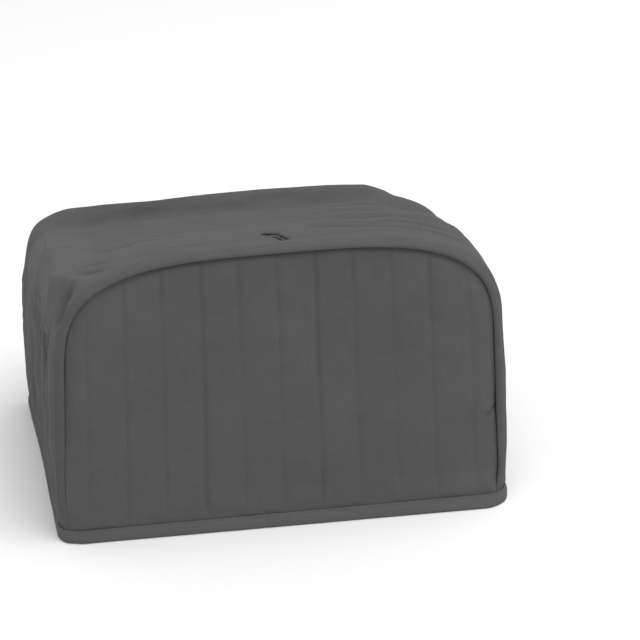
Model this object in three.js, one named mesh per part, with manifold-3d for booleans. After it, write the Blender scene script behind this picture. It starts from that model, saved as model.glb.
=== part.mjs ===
// A fitted toaster cover, sewn from quilted cotton: a front panel, a back panel,
// a gusset strip that runs up the left side, over the top and down the right side, and a tape
// binding folded round the open bottom edge. Millimetres, +Z up, +X to the right, +Y to the back.
// The cover stands empty on its hem, so its top sags from the stiff front seam to the back.
import * as THREE from 'three';
import { mergeVertices } from 'three/addons/utils/BufferGeometryUtils.js';
import Module from 'manifold-3d';

// Driving dimensions
const DEPTH = 201.3;          // from the front seam plane to the back seam plane
const CLOTH = 1.8;            // quilted cloth at a stitched line
const PUFF = 1.2;             // how far a quilted channel stands above its stitched lines
const PITCH = 25.4;           // one inch between stitched lines
const GAP = 0.3;              // clearance between pieces
const TAPE = 1.2;             // folded binding tape
const BINDING_HEIGHT = 9.5;   // a three-eighths inch tape
const ROLL = 5.5;             // radius of the gusset's rolled edge beside a seam
const PROUD = 2.2;            // extra fullness of that roll above the hem
const FIRST_LINE = -128.8;    // leftmost stitched line on a panel
const PANEL_BULGE = 2.6;      // how far a panel bows out of its seam plane
const FLARE = 2.4;            // how far the front hem kicks forward
const FLARE_HEIGHT = 60;      // the kick dies away up to this height
const SKEW = 6.5;             // the right end of the front hem stands this much further forward
const HEM_EDGE = TAPE + GAP;  // where the cloth ends inside the binding
const TAPE_EDGE = 0.8;        // rounding of the binding's outer corners

// The seam outline along the gusset, from the front seam to the back seam. left and right are
// half widths at the floor, a lean is the inward slope of that side, spring is where the
// shoulder's curve begins, and a round is the exponent of that shoulder's superellipse.
const ARCH = {
  front: {
    left: 144.6,
    right: 140.2,
    leftLean: 0.06,
    rightLean: 0.032,
    spring: 118,
    leftRound: 3.4,
    rightRound: 3.4,
  },
  middle: {
    left: 148.4,
    right: 147,
    leftLean: 0.045,
    rightLean: 0.06,
    spring: 100,
    leftRound: 4.6,
    rightRound: 4.7,
  },
  back: {
    left: 151,
    right: 151,
    leftLean: 0.028,
    rightLean: 0.1,
    spring: 84,
    leftRound: 6.4,
    rightRound: 3.8,
  },
};

// Height of the seam outline's crown along the depth: the top falls from the front seam to a
// sagging valley at the last stitched line, and lifts a little where the back seam holds it.
// The two places are shares of the depth.
const CROWN = { front: 191.6, valley: 140, back: 144.6, valleyAt: 0.88, backAt: 0.97 };
const CROWN_SAG = 0.3;        // 0 is a straight fall to the valley, 1 a fully S-shaped one

// Main folds of the gusset. along is the distance up and over from the left hem, as a share of the
// strip's length. depth runs from the front seam (0) to the back seam (1). rise is the fold's height,
// with a minus for a hollow, and length and width are its half extents in the same two shares.
const FOLDS = [
  { name: 'corner facet', along: 0.285, depth: 0.1, length: 0.045, width: 0.08, rise: -3.2 },
  { name: 'corner peak', along: 0.335, depth: 0.16, length: 0.025, width: 0.12, rise: 2.4 },
  { name: 'left front ridge', along: 0.17, depth: 0.22, length: 0.12, width: 0.05, rise: 1.8 },
  { name: 'left hollow', along: 0.14, depth: 0.38, length: 0.1, width: 0.07, rise: -2.4 },
  { name: 'left middle ridge', along: 0.2, depth: 0.55, length: 0.09, width: 0.06, rise: 2 },
  { name: 'left back hollow', along: 0.1, depth: 0.74, length: 0.1, width: 0.08, rise: -2 },
  { name: 'top left dip', along: 0.42, depth: 0.5, length: 0.07, width: 0.2, rise: -2 },
  { name: 'top middle swell', along: 0.52, depth: 0.3, length: 0.06, width: 0.12, rise: 1.6 },
  { name: 'right shoulder ridge', along: 0.64, depth: 0.3, length: 0.07, width: 0.045, rise: 2.2 },
  { name: 'right shoulder trough', along: 0.65, depth: 0.42, length: 0.07, width: 0.045, rise: -2.2 },
  { name: 'right shoulder back ridge', along: 0.63, depth: 0.56, length: 0.08, width: 0.06, rise: 1.8 },
  { name: 'right side hollow', along: 0.86, depth: 0.5, length: 0.1, width: 0.18, rise: -2.6 },
];

const ARCH_STEPS = 72;        // along the gusset
const WALL_STEPS = 12;        // finer ones that the outline is measured on
const ROUND_STEPS = 240;
const ROLL_STEPS = 4;
const CHANNEL_NODES = [0, 0.28, 0.72];
const GUSSET_LINES = 7;
const PANEL_ROWS = 8;         // above the hem
const PANEL_SPARE = 4;        // how far the quilted length reaches above the crown
const CUTTER_DEPTH = 30;
const HEM_SIDE_STEPS = 10;
const SLIVER = 0.02;          // corners closer than this become one after a panel is cut

// Heights above the binding over which its hold on the cloth dies away.
const PRESSED = 3;            // flat as far as this
const QUILT_RISE = 16;        // the quilting is full this much higher
const ROLL_RISE = 30;         // the gusset's outward direction follows the outline by here
const BOW_RISE = 45;          // a panel bows fully by here
const BOW_FALL = 60;          // and this far below its top
const BOW_WAVE = { size: 0.25, across: 31, up: 44 };  // uneven share of the bow
const FRONT_FROM = -10;       // y where the front hem's kick begins
const FRONT_SPAN = 90;

const wasm = await Module();
wasm.setup();

const mix = (a, b, t) => a + (b - a) * t;
const clamp = (t) => Math.min(Math.max(t, 0), 1);
const smooth = (t) => clamp(t) ** 2 * (3 - 2 * clamp(t));

// Quilting and rolls die away where the binding presses the cloth flat.
const aboveHem = (z) => smooth((z - BINDING_HEIGHT - PRESSED) / QUILT_RISE);

function crownHeight(depth) {
  if (depth > CROWN.valleyAt) {
    const lift = (depth - CROWN.valleyAt) / (CROWN.backAt - CROWN.valleyAt);
    return mix(CROWN.valley, CROWN.back, smooth(lift));
  }
  const fall = depth / CROWN.valleyAt;
  return mix(CROWN.front, CROWN.valley, mix(fall, smooth(fall), CROWN_SAG));
}

function archShape(depth) {
  const shape = { crown: crownHeight(depth) };
  for (const key of Object.keys(ARCH.front)) {
    const straight = mix(ARCH.front[key], ARCH.back[key], depth);
    const offLine = ARCH.middle[key] - mix(ARCH.front[key], ARCH.back[key], 0.5);
    shape[key] = straight + offLine * 4 * depth * (1 - depth);
  }
  return shape;
}

function leftWall(shape, z) {
  return -(shape.left - shape.leftLean * z);
}

function rightWall(shape, z) {
  return shape.right - shape.rightLean * z;
}

// The seam outline at one depth, finely divided, from the left hem over the top to the right hem.
function fineArch(depth) {
  const shape = archShape(depth);
  const points = [];
  for (let i = 0; i < WALL_STEPS; i += 1) {
    const z = mix(HEM_EDGE, shape.spring, i / WALL_STEPS);
    points.push(new THREE.Vector2(leftWall(shape, z), z));
  }
  for (let i = 0; i <= ROUND_STEPS; i += 1) {
    const angle = (Math.PI * i) / ROUND_STEPS;
    const onLeft = angle <= Math.PI / 2;
    const exponent = 2 / (onLeft ? shape.leftRound : shape.rightRound);
    const z = mix(shape.spring, shape.crown, Math.abs(Math.sin(angle)) ** exponent);
    const wall = onLeft ? leftWall(shape, z) : rightWall(shape, z);
    points.push(new THREE.Vector2(wall * Math.abs(Math.cos(angle)) ** exponent, z));
  }
  for (let i = WALL_STEPS - 1; i >= 0; i -= 1) {
    const z = mix(HEM_EDGE, shape.spring, i / WALL_STEPS);
    points.push(new THREE.Vector2(rightWall(shape, z), z));
  }
  return points;
}

// Equal steps along the outline, each with its outward direction.
function archRow(depth) {
  const fine = fineArch(depth);
  const travelled = [0];
  for (let i = 1; i < fine.length; i += 1) {
    travelled.push(travelled[i - 1] + fine[i].distanceTo(fine[i - 1]));
  }
  const total = travelled[travelled.length - 1];
  const places = [];
  let from = 0;
  for (let i = 0; i <= ARCH_STEPS; i += 1) {
    const goal = (total * i) / ARCH_STEPS;
    while (from < fine.length - 2 && travelled[from + 1] < goal) {
      from += 1;
    }
    const share = clamp((goal - travelled[from]) / (travelled[from + 1] - travelled[from]));
    places.push(fine[from].clone().lerp(fine[from + 1], share));
  }
  return places.map((place, i) => {
    const before = places[Math.max(i - 1, 0)];
    const after = places[Math.min(i + 1, ARCH_STEPS)];
    const free = smooth((place.y - BINDING_HEIGHT - PRESSED) / ROLL_RISE);
    const out = new THREE.Vector2(before.y - after.y, (after.x - before.x) * free);
    return { place, out: out.normalize() };
  });
}

function foldRise(along, depth) {
  let rise = 0;
  for (const fold of FOLDS) {
    const a = (along - fold.along) / fold.length;
    const d = (depth - fold.depth) / fold.width;
    rise += fold.rise * Math.exp(-a * a - d * d);
  }
  return rise;
}

// A place across the gusset strip: turn is 90 degrees on the flat and falls to 0 at a seam,
// y is the depth and puff is the share of the quilting's height.
function gussetStations() {
  const stations = [];
  const flatStart = -DEPTH / 2 + ROLL;
  for (let i = 0; i <= ROLL_STEPS; i += 1) {
    stations.push({ turn: (Math.PI / 2) * (i / ROLL_STEPS), end: -1, y: flatStart, puff: 0 });
  }
  const firstLine = -((GUSSET_LINES - 1) / 2) * PITCH;
  const endChannel = (firstLine + flatStart) / 2;
  stations.push({ turn: Math.PI / 2, end: -1, y: endChannel, puff: 1 });
  for (let line = 0; line < GUSSET_LINES - 1; line += 1) {
    for (const node of CHANNEL_NODES) {
      const y = firstLine + (line + node) * PITCH;
      stations.push({ turn: Math.PI / 2, end: -1, y, puff: node === 0 ? 0 : 1 });
    }
  }
  stations.push({ turn: Math.PI / 2, end: 1, y: -firstLine, puff: 0 });
  stations.push({ turn: Math.PI / 2, end: 1, y: -endChannel, puff: 1 });
  for (let i = ROLL_STEPS; i >= 0; i -= 1) {
    stations.push({ turn: (Math.PI / 2) * (i / ROLL_STEPS), end: 1, y: -flatStart, puff: 0 });
  }
  return stations;
}

// A closed sheet body from its outer and inner faces, given as equal rows of points.
function sheetBody(outer, inner) {
  const rows = outer.length;
  const columns = outer[0].length;
  const positions = [];
  for (const face of [outer, inner]) {
    for (const row of face) {
      for (const p of row) {
        positions.push(p.x, p.y, p.z);
      }
    }
  }
  const at = (face, r, c) => face * rows * columns + r * columns + c;
  const index = [];
  const quad = (a, b, c, d) => index.push(a, b, c, a, c, d);
  for (let r = 0; r < rows - 1; r += 1) {
    for (let c = 0; c < columns - 1; c += 1) {
      quad(at(0, r, c), at(0, r + 1, c), at(0, r + 1, c + 1), at(0, r, c + 1));
      quad(at(1, r, c), at(1, r, c + 1), at(1, r + 1, c + 1), at(1, r + 1, c));
    }
    const end = columns - 1;
    quad(at(0, r + 1, 0), at(0, r, 0), at(1, r, 0), at(1, r + 1, 0));
    quad(at(0, r, end), at(0, r + 1, end), at(1, r + 1, end), at(1, r, end));
  }
  for (let c = 0; c < columns - 1; c += 1) {
    const last = rows - 1;
    quad(at(0, 0, c), at(0, 0, c + 1), at(1, 0, c + 1), at(1, 0, c));
    quad(at(0, last, c + 1), at(0, last, c), at(1, last, c), at(1, last, c + 1));
  }
  return facingOut(positions, index);
}

// A closed ring body: each loop is one corner of the ring's section, carried all the way round.
function ringBody(loops) {
  const around = loops[0].length;
  const positions = loops.flatMap((loop) => loop.flatMap((p) => [p.x, p.y, p.z]));
  const index = [];
  for (let k = 0; k < loops.length; k += 1) {
    const next = (k + 1) % loops.length;
    for (let i = 0; i < around; i += 1) {
      const j = (i + 1) % around;
      const a = k * around + i;
      const b = k * around + j;
      const c = next * around + j;
      const d = next * around + i;
      index.push(a, b, c, a, c, d);
    }
  }
  return facingOut(positions, index);
}

function facingOut(positions, index) {
  const corner = (i) => new THREE.Vector3().fromArray(positions, index[i] * 3);
  let volume = 0;
  for (let i = 0; i < index.length; i += 3) {
    volume += corner(i).dot(corner(i + 1).cross(corner(i + 2)));
  }
  if (volume < 0) {
    index.reverse();
  }
  const geometry = new THREE.BufferGeometry();
  geometry.setAttribute('position', new THREE.Float32BufferAttribute(positions, 3));
  geometry.setIndex(index);
  return geometry;
}

function gussetGeometry() {
  const outer = [];
  const inner = [];
  for (const station of gussetStations()) {
    const sin = Math.sin(station.turn);
    const cos = Math.cos(station.turn);
    const nominalY = station.y + station.end * ROLL * cos;
    const depth = clamp(nominalY / DEPTH + 0.5);
    const outerRow = [];
    const innerRow = [];
    archRow(depth).forEach(({ place, out }, i) => {
      const along = i / ARCH_STEPS;
      const free = aboveHem(place.y);
      const y = nominalY + station.end * PROUD * free * Math.sin(2 * station.turn);
      const fold = free * sin * foldRise(along, depth);
      const face = ROLL * sin + fold;
      const normal = new THREE.Vector3(out.x * sin, station.end * cos, out.y * sin);
      const base = new THREE.Vector3(place.x + out.x * face, y, place.y + out.y * face);
      outerRow.push(base.clone().addScaledVector(normal, PUFF * station.puff * free));
      innerRow.push(base.clone().addScaledVector(normal, -CLOTH));
    });
    outer.push(outerRow);
    inner.push(innerRow);
  }
  return sheetBody(outer, inner);
}

function toManifold(geometry) {
  const bare = geometry.clone();
  bare.deleteAttribute('normal');
  bare.deleteAttribute('uv');
  const merged = mergeVertices(bare, 1e-4);
  return new wasm.Manifold(new wasm.Mesh({
    numProp: 3,
    vertProperties: new Float32Array(merged.attributes.position.array),
    triVerts: new Uint32Array(merged.index.array),
  }));
}

function fromManifold(solid) {
  const mesh = solid.getMesh();
  const geometry = new THREE.BufferGeometry();
  geometry.setAttribute('position', new THREE.Float32BufferAttribute(mesh.vertProperties, 3));
  geometry.setIndex([...mesh.triVerts]);
  return geometry;
}

function withoutSlivers(geometry) {
  const merged = mergeVertices(geometry, SLIVER);
  const index = [];
  for (let i = 0; i < merged.index.count; i += 3) {
    const [a, b, c] = [0, 1, 2].map((k) => merged.index.getX(i + k));
    if (a !== b && b !== c && c !== a) {
      index.push(a, b, c);
    }
  }
  merged.setIndex(index);
  return merged;
}

// The quilted length that a panel is cut from: stitched lines stand upright an inch apart.
function quiltedLength(end, depth) {
  const shape = archShape(depth);
  const columns = [];
  const linesLeft = Math.ceil((shape.left + FIRST_LINE) / PITCH);
  const linesRight = Math.ceil((shape.right - FIRST_LINE) / PITCH);
  for (let line = -linesLeft; line < linesRight; line += 1) {
    for (const node of CHANNEL_NODES) {
      columns.push({ x: FIRST_LINE + (line + node) * PITCH, puff: node === 0 ? 0 : 1 });
    }
  }
  const outer = [];
  const inner = [];
  const top = shape.crown + PANEL_SPARE;
  const hemRow = BINDING_HEIGHT + PRESSED;
  const heights = [HEM_EDGE];
  for (let row = 0; row <= PANEL_ROWS; row += 1) {
    heights.push(mix(hemRow, top, (row / PANEL_ROWS) ** 1.2));
  }
  for (const z of heights) {
    const lift = smooth((z - hemRow) / BOW_RISE) * smooth((top - z) / BOW_FALL);
    const outerRow = [];
    const innerRow = [];
    for (const { x, puff } of columns) {
      const across = Math.sqrt(clamp(1 - (x / shape.left) ** 2));
      const wave = BOW_WAVE.size * Math.sin(x / BOW_WAVE.across + z / BOW_WAVE.up);
      const bow = PANEL_BULGE * lift * across * (1 + wave);
      const y = DEPTH / 2 + bow;
      outerRow.push(new THREE.Vector3(x, end * (y + PUFF * puff * aboveHem(z)), z));
      innerRow.push(new THREE.Vector3(x, end * (y - CLOTH), z));
    }
    outer.push(outerRow);
    inner.push(innerRow);
  }
  return sheetBody(outer, inner);
}

// The quilted length cut to the seam outline, a gap inside it. The cut runs out below the hem.
function panelGeometry(end, depth) {
  const outline = new THREE.Shape(archRow(depth).map(({ place, out }, i) => {
    const below = i === 0 || i === ARCH_STEPS ? 2 * HEM_EDGE : 0;
    return new THREE.Vector2(place.x - out.x * GAP, place.y - out.y * GAP - below);
  }));
  const cutter = new THREE.ExtrudeGeometry(outline, { depth: CUTTER_DEPTH, bevelEnabled: false });
  cutter.rotateX(Math.PI / 2);
  cutter.translate(0, (end * DEPTH + CUTTER_DEPTH) / 2, 0);
  const cut = toManifold(quiltedLength(end, depth)).intersect(toManifold(cutter));
  return withoutSlivers(fromManifold(cut));
}

// The cloth's outer face at a height near the hem, moved outward by a distance, as one closed loop.
function hemLoop(z, outward) {
  const radius = ROLL + outward;
  const half = DEPTH / 2;
  const loop = [];
  const wallX = (side, y) => {
    const shape = archShape(y / DEPTH + 0.5);
    return side < 0 ? leftWall(shape, z) : rightWall(shape, z);
  };
  const corner = (side, end, turn) => {
    const y = end * (half - ROLL + ROLL * Math.cos(turn));
    const x = wallX(side, y) + side * radius * Math.sin(turn);
    return new THREE.Vector3(x, end * (half - ROLL + radius * Math.cos(turn)), z);
  };
  const wall = (side, y) => new THREE.Vector3(wallX(side, y) + side * radius, y, z);
  // Along the front from left to right, back along the right wall, then the same from the back.
  for (const end of [-1, 1]) {
    const nearSide = end;
    const farSide = -end;
    for (let i = 0; i <= ROLL_STEPS; i += 1) {
      loop.push(corner(nearSide, end, (Math.PI / 2) * (1 - i / ROLL_STEPS)));
    }
    const first = loop[loop.length - 1];
    const last = corner(farSide, end, 0);
    for (let i = 1; i < HEM_SIDE_STEPS; i += 1) {
      loop.push(first.clone().lerp(last, i / HEM_SIDE_STEPS));
    }
    for (let i = 0; i <= ROLL_STEPS; i += 1) {
      loop.push(corner(farSide, end, (Math.PI / 2) * (i / ROLL_STEPS)));
    }
    for (let i = 1; i < HEM_SIDE_STEPS; i += 1) {
      loop.push(wall(farSide, end * (half - ROLL) * (1 - (2 * i) / HEM_SIDE_STEPS)));
    }
  }
  return loop;
}

// Tape folded up round the raw edge: an outer leg, the fold that stands on the table, an inner leg.
function bindingGeometry() {
  const outside = GAP + TAPE;
  const inside = -(CLOTH + GAP);
  return ringBody([
    hemLoop(0, outside - TAPE_EDGE),
    hemLoop(TAPE_EDGE, outside),
    hemLoop(BINDING_HEIGHT - TAPE_EDGE, outside),
    hemLoop(BINDING_HEIGHT, outside - TAPE_EDGE),
    hemLoop(BINDING_HEIGHT, GAP),
    hemLoop(TAPE, GAP),
    hemLoop(TAPE, inside),
    hemLoop(BINDING_HEIGHT, inside),
    hemLoop(BINDING_HEIGHT, inside - TAPE),
    hemLoop(0, inside - TAPE),
  ]);
}

// How the whole cover settles on the table: the front hem kicks forward, more so at the right.
function settle(geometry) {
  const position = geometry.attributes.position;
  for (let i = 0; i < position.count; i += 1) {
    const x = position.getX(i);
    const y = position.getY(i);
    const low = clamp(1 - position.getZ(i) / FLARE_HEIGHT) ** 2;
    const front = smooth((FRONT_FROM - y) / FRONT_SPAN);
    const kick = FLARE + SKEW * (x / (ARCH.front.left + ARCH.front.right) + 0.5);
    position.setY(i, y - kick * low * front);
  }
  geometry.computeVertexNormals();
  return geometry;
}

const quilted = { color: 0x5c5c5d, roughness: 0.95, metalness: 0 };
const tape = { color: 0x626263, roughness: 0.92, metalness: 0 };

function piece(name, geometry, finish) {
  const mesh = new THREE.Mesh(settle(geometry), new THREE.MeshStandardMaterial(finish));
  mesh.name = name;
  return mesh;
}

const cover = new THREE.Group();
cover.add(piece('front_panel', panelGeometry(-1, 0), quilted));
cover.add(piece('back_panel', panelGeometry(1, 1), quilted));
cover.add(piece('gusset', gussetGeometry(), quilted));
cover.add(piece('hem_binding', bindingGeometry(), tape));

// The origin is the middle of the footprint, on the table.
const box = new THREE.Box3().setFromObject(cover);
const centre = box.getCenter(new THREE.Vector3());
cover.position.set(-centre.x, -centre.y, -box.min.z);

export default cover;
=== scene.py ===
import math

import bpy
import numpy as np
from mathutils import Matrix


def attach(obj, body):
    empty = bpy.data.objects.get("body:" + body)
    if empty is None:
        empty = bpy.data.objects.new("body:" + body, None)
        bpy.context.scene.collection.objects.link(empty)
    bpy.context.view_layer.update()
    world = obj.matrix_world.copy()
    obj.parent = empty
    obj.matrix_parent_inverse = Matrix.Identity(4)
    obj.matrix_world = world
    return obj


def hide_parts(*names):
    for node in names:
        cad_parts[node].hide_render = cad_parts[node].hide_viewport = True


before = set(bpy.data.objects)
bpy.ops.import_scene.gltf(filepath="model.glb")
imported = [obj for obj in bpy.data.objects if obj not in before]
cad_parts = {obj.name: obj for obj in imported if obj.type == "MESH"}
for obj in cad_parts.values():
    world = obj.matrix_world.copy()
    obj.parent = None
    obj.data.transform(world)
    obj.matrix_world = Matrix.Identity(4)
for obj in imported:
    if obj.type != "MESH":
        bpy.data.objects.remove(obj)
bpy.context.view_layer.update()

# A fitted toaster cover of quilted cotton, standing on its bound hem. The sheets are worked out in
# millimetres about the middle of the seams' footprint and moved into the frame at the end.

MM = 0.001
MIDDLE = (0.045, 2.842)  # the frame's x and y of that middle
X, Y, Z = 0, 1, 2
FAR = 1e9  # further than anything here

# The cut, in millimetres
DEPTH = 201.3  # from the front seam plane to the back seam plane
CLOTH = 1.8  # quilted cloth at a stitched line
PUFF = 1.2  # how far a quilted channel stands above its stitched lines
PITCH = 25.4  # between stitched lines
GAP = 0.3  # between neighbouring pieces
CLOSE_GAP = 0.06  # between the front panel and the roll, low on the left
TAPE = 1.2  # thickness of the binding tape
BINDING_HEIGHT = 9.5
ROLL = 5.5  # radius of the gusset's rolled edge beside a seam
PROUD = 2.2  # extra fullness of that roll above the hem
FIRST_LINE = -128.8  # leftmost stitched line of a panel
PANEL_BULGE = 2.6  # how far a panel bows out of its seam plane
FLARE = 2.4  # how far the front hem kicks forward at its left end
FLARE_HEIGHT = 60.0  # the kick dies away up to this height
FLARE_WINDOW = (-10, -90)  # y where the kick begins, and over how much
SKEW = 6.5  # the right end of the front hem stands this much further forward
HEM_EDGE = TAPE + GAP  # where the cloth ends inside the binding
PRESSED = 3.0  # the cloth is flat this far above the binding
QUILT_RISE = 16.0  # and its quilting is full this much higher
ROLL_RISE = 30  # the gusset's outward direction follows the outline by here

# The seam's outline at three depths: half widths at the floor, how the walls lean in, where the
# arch springs and how square its shoulders are
ARCH_KEYS = ("left", "right", "leftLean", "rightLean", "spring", "leftRound", "rightRound")
ARCH = {
    "front": (144.6, 140.2, 0.06, 0.032, 118.0, 3.4, 3.4),
    "middle": (148.4, 147.0, 0.045, 0.06, 100.0, 4.6, 4.7),
    "back": (151.0, 151.0, 0.028, 0.1, 84.0, 6.4, 3.8),
}
WALL_STEPS = 12
ROUND_STEPS = 480

# Height of the crown from the front seam down to a valley and up again to the back seam
CROWN = {"front": 191.6, "valley": 140.0, "back": 144.6, "valleyAt": 0.88, "backAt": 0.97}
CROWN_SAG = 0.3  # 0 is a straight fall to the valley, 1 a fully S-shaped one
NORMAL_STEP = 1 / 72  # the outline's direction is taken over this share of it

# Folds of the gusset, as (along, depth, length, width, rise), all but the rise being shares of it
FOLDS = (
    (0.325, 0.45, 0.03, 0.3, -1.2),  # corner flat
    (0.17, 0.22, 0.12, 0.05, 1.8),  # left front ridge
    (0.14, 0.38, 0.1, 0.07, -2.4),  # left hollow
    (0.2, 0.55, 0.09, 0.06, 2.0),  # left middle ridge
    (0.1, 0.74, 0.1, 0.08, -2.0),  # left back hollow
    (0.42, 0.5, 0.07, 0.2, -2.0),  # top left dip
    (0.52, 0.3, 0.06, 0.12, 1.6),  # top middle swell
    (0.64, 0.3, 0.07, 0.045, 2.2),  # right shoulder ridge
    (0.65, 0.42, 0.07, 0.045, -2.2),  # right shoulder trough
    (0.63, 0.56, 0.08, 0.06, 1.8),  # right shoulder back ridge
    (0.86, 0.5, 0.1, 0.18, -2.6),  # right side hollow
)

# Creases of the gusset, as (half width, places). A place is (along, y, rise), with y and rise
# in millimetres.
CREASES = (
    # the hollow of the front corner's facet
    (8.0, ((0.263, -70, -3.2), (0.271, -80, -5.4), (0.257, -89, -4.2))),
    # ridges and grooves of the left side
    (3.2, ((0.244, -2, 0.6), (0.238, -28, 1.8), (0.234, -54, 2.0), (0.226, -70, 1.8), (0.205, -78, 1.6),
      (0.165, -70, 1.5), (0.115, -66, 1.4), (0.065, -66, 0.8))),
    (3.0, ((0.243, -88, 1.0), (0.212, -88, 1.6), (0.165, -86, 1.5), (0.11, -85, 1.4), (0.06, -84, 0.8))),
    (3.0, ((0.236, -62, -0.8), (0.215, -82, -1.7), (0.165, -79, -1.6), (0.11, -76, -1.5),
      (0.06, -75, -0.8))),
    (4.0, ((0.226, 63, 1.0), (0.23, 9, 1.5), (0.226, -10, 1.6), (0.222, -32, 1.7), (0.205, -52, 1.7),
      (0.17, -46, 1.5), (0.13, -50, 1.3), (0.08, -44, 0.8))),
    (4.5, ((0.233, 30, -1.0), (0.228, -30, -1.6), (0.213, -62, -1.9), (0.185, -58, -1.7),
      (0.13, -60, -1.5), (0.08, -56, -0.8))),
    (4.5, ((0.205, 40, 0.8), (0.19, 0, 1.5), (0.176, -4, 1.7), (0.162, -6, 1.7), (0.129, -2, 1.5),
      (0.09, 2, 0.8))),
    (5.0, ((0.2, -16, -1.0), (0.175, -24, -1.6), (0.13, -22, -1.4), (0.09, -18, -0.8))),
    (11.0, ((0.2, 15, -1.6), (0.15, 22, -2.2), (0.11, 30, -1.5))),
    (7.0, ((0.19, 52, 0.8), (0.15, 58, 1.4), (0.1, 60, 1.0))),
    # streaks on top
    (1.8, ((0.262, 82, -0.5), (0.276, 80, -1.0), (0.292, 80, -0.4))),
    (1.8, ((0.268, 30, -0.4), (0.28, 20, -1.0), (0.295, 15, -0.9), (0.305, 16, -0.3))),
    (1.8, ((0.27, 0, -0.4), (0.284, -6, -0.9), (0.298, -2, -0.4))),
    (2.0, ((0.3, -12, -0.4), (0.316, -24, -0.9), (0.331, -34, -1.0), (0.35, -28, -0.8),
      (0.37, -20, -0.5))),
    (1.8, ((0.29, -66, -0.5), (0.3, -71, -1.2), (0.314, -80, -1.0), (0.326, -84, -0.4))),
    (1.6, ((0.3, -60, -0.3), (0.312, -62, -0.9), (0.326, -70, -0.5))),
    (2.2, ((0.4, 6, -0.3), (0.44, 12, -0.8), (0.48, 8, -0.6), (0.51, 14, -0.2))),
    (2.4, ((0.43, 44, -0.3), (0.48, 38, -0.8), (0.53, 46, -0.4))),
    # the fan over the right shoulder
    (2.0, ((0.53, -28, -0.5), (0.556, -30, -1.8), (0.584, -30, -1.6), (0.631, -48, -1.9),
      (0.69, -54, -1.2))),
    (2.4, ((0.548, -22, 0.7), (0.6, -24, 1.5), (0.65, -42, 1.5), (0.69, -46, 0.9))),
    (1.9, ((0.548, -44, -0.7), (0.6, -57, -1.8), (0.65, -67, -1.8), (0.7, -72, -1.1))),
    (2.4, ((0.55, -37, 0.5), (0.6, -42, 1.4), (0.66, -60, 1.4))),
    (2.3, ((0.59, 0, -0.7), (0.64, -8, -2.0), (0.68, -8, -2.0), (0.73, -16, -1.4))),
    (2.6, ((0.6, 9, 0.7), (0.65, 2, 1.8), (0.7, 0, 1.6), (0.74, -5, 0.9))),
    (2.5, ((0.585, 34, -0.7), (0.63, 40, -1.9), (0.68, 30, -2.0), (0.73, 26, -1.2))),
    (3.0, ((0.6, 48, 0.7), (0.65, 48, 1.6), (0.7, 42, 1.6), (0.74, 40, 0.8))),
    (2.4, ((0.6, 60, -0.5), (0.65, 66, -1.6), (0.7, 60, -1.1))),
    # broad forms along the rear and on the right shoulder
    (9.0, ((0.35, 92, -1.0), (0.392, 92, -2.4), (0.43, 92, -0.8))),
    (12.0, ((0.69, 52, 0.8), (0.728, 38, 3.2), (0.765, 32, 1.6))),
    (8.0, ((0.722, -28, -0.8), (0.737, -36, -2.4), (0.752, -48, -1.2))),
    (8.0, ((0.683, 95, 0.8), (0.7, 96, 2.2), (0.716, 96, 0.8))),
)

# The shaded left part of the front corner's facet, as (along in millimetres, y, how much darker)
FACET_SHADE = ((160.0, -63, 0.15), (163.0, -72, 0.2), (159.0, -82, 0.1))

# Sharp edges of the gusset, in the same terms
EDGES = (
    # along the left shoulder
    (32.0, ((0.247, 94, 0.6), (0.249, 76, 2.6), (0.256, 56, 6.2), (0.264, 30, 9.0), (0.269, 0, 10.2),
      (0.272, -25, 10.2), (0.272, -45, 9.4), (0.268, -62, 7.4), (0.26, -76, 5.0),
      (0.249, -88, 2.0))),
    # along the facet
    (9.0, ((0.272, -52, 1.0), (0.281, -66, 3.0), (0.29, -77, 3.0), (0.3, -87, 0.8))),
)

# The pinched tuck near the front of the top, with places as (x, y, rise)
TUCK = (
    # the slit and its depth
    (1.6, ((-4.4, -60.3, -2.2), (-3.0, -61.0, -4.4), (0.5, -63.0, -4.8), (3.0, -66.0, -4.2))),
    (1.1, ((-3.4, -62.6, -3.0), (0.0, -65.0, -3.0))),
    # its tails
    (0.8, ((3.0, -66.0, -3.6), (5.6, -72, -3.0), (7.0, -79, -3.0), (8.6, -87, -1.2))),
    (0.75, ((0.5, -71.0, -1.2), (2.4, -74.5, -3.0), (4.0, -83, -2.8), (5.0, -87, -0.8))),
    # the lip and its tongue
    (1.9, ((-5.0, -56, 0.4), (0.0, -57.5, 0.7), (4.0, -60.0, 1.1), (7.5, -67, 1.2), (9.5, -74, 0.6))),
    (1.4, ((-5.0, -66, 0.3), (0.0, -68.0, 0.6), (3.0, -71.0, 0.6))),
)

# How deep each of a panel's stitched lines pulls, from the left
FRONT_LINES = (0.25, 0.45, 0.4, 0.9, 0.35, 0.5, 1.0, 0.55, 0.25, 0.8, 0.3)
BACK_LINES = (0.4, 0.7, 0.35, 0.5, 0.8, 0.4, 0.55, 0.35, 0.9, 0.45, 0.5)
LINE_PULL = 0.75  # how deep a fully pulled line lies

# A small pinch in the front panel beside its right seam, as (x, z, rise)
NICK = ((129.5, 64.5, -0.5), (133.0, 66.0, -1.6), (137.0, 70.0, -1.4))


def mix(a, b, t):
    return a + (b - a) * t


def smooth(t):
    t = np.clip(t, 0.0, 1.0)
    return t * t * (3 - 2 * t)


def window(value, *spans):
    """A share that opens from 0 to 1 over each (start, span). A minus span opens the other way."""
    return math.prod(smooth((value - start) / span) for start, span in spans)


def bell(value, at, width):
    return np.exp(-((value - at) / width) ** 2)


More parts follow.
